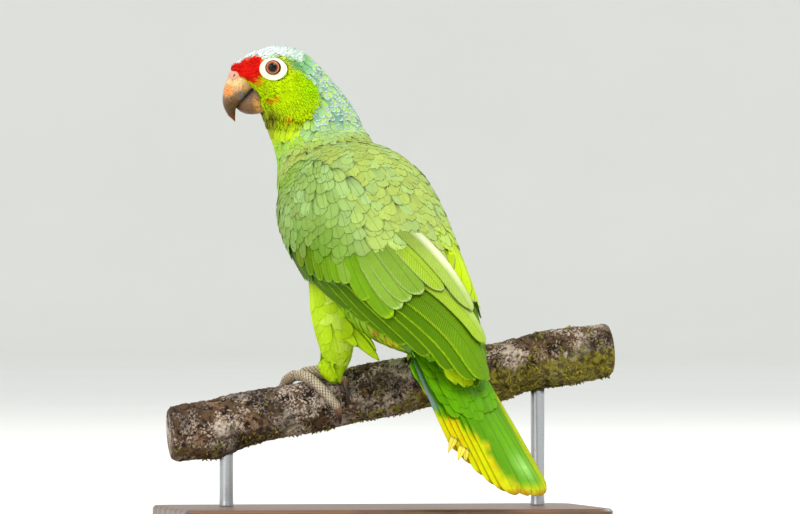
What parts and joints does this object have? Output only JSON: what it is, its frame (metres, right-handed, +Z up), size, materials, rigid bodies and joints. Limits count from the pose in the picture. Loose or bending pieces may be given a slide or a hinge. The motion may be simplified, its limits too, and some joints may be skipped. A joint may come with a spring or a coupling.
{
  "type": "amazon parrot model",
  "caption": "Still, life-size model of a red-lored amazon parrot gripping a short mossy branch, held over a flat base by two rods.",
  "frame": {"origin": "middle of the base's underside, which rests on the floor", "axes": "+Z up; +X the way the breast faces; +Y towards the bird's left wing, to which the head is turned"},
  "size_m": [0.2547, 0.2804, 0.2813],
  "materials": {
    "plumage": "soft body feathers, lime green with paler scalloped edges",
    "wing_feathers": "overlapping green coverts and flight feathers, satin",
    "tail_feathers": "green tail feathers with yellow outer tips, satin",
    "bill_horn": "cream and grey horn with a brown tip, low gloss",
    "bare_skin": "pale pinkish bare skin",
    "eye": "glossy, red-brown iris round a black pupil",
    "foot_scales": "small grey-beige scales",
    "claw_horn": "dark horn",
    "bark": "rough dark bark with white lichen and moss",
    "stand_wood": "dark stained wood, satin lacquer",
    "stand_metal": "brushed"
  },
  "bodies": {
    "root": {"head": "plumage", "neck": "plumage", "torso": "plumage", "leg_left": "plumage", "leg_right": "plumage", "wing_left": "wing_feathers", "wing_right": "wing_feathers", "tail": "tail_feathers", "bill_upper": "bill_horn", "bill_lower": "bill_horn", "cere": "bare_skin", "eye_left": "eye", "eye_right": "eye", "foot_left": "foot_scales", "foot_right": "foot_scales", "claw_left_1": "claw_horn", "claw_left_2": "claw_horn", "claw_left_3": "claw_horn", "claw_left_4": "claw_horn", "claw_right_1": "claw_horn", "claw_right_2": "claw_horn", "claw_right_3": "claw_horn", "claw_right_4": "claw_horn", "perch": "bark", "stand_base": "stand_wood", "stand_rod_left": "stand_metal", "stand_rod_right": "stand_metal"}
  },
  "joints": []
}
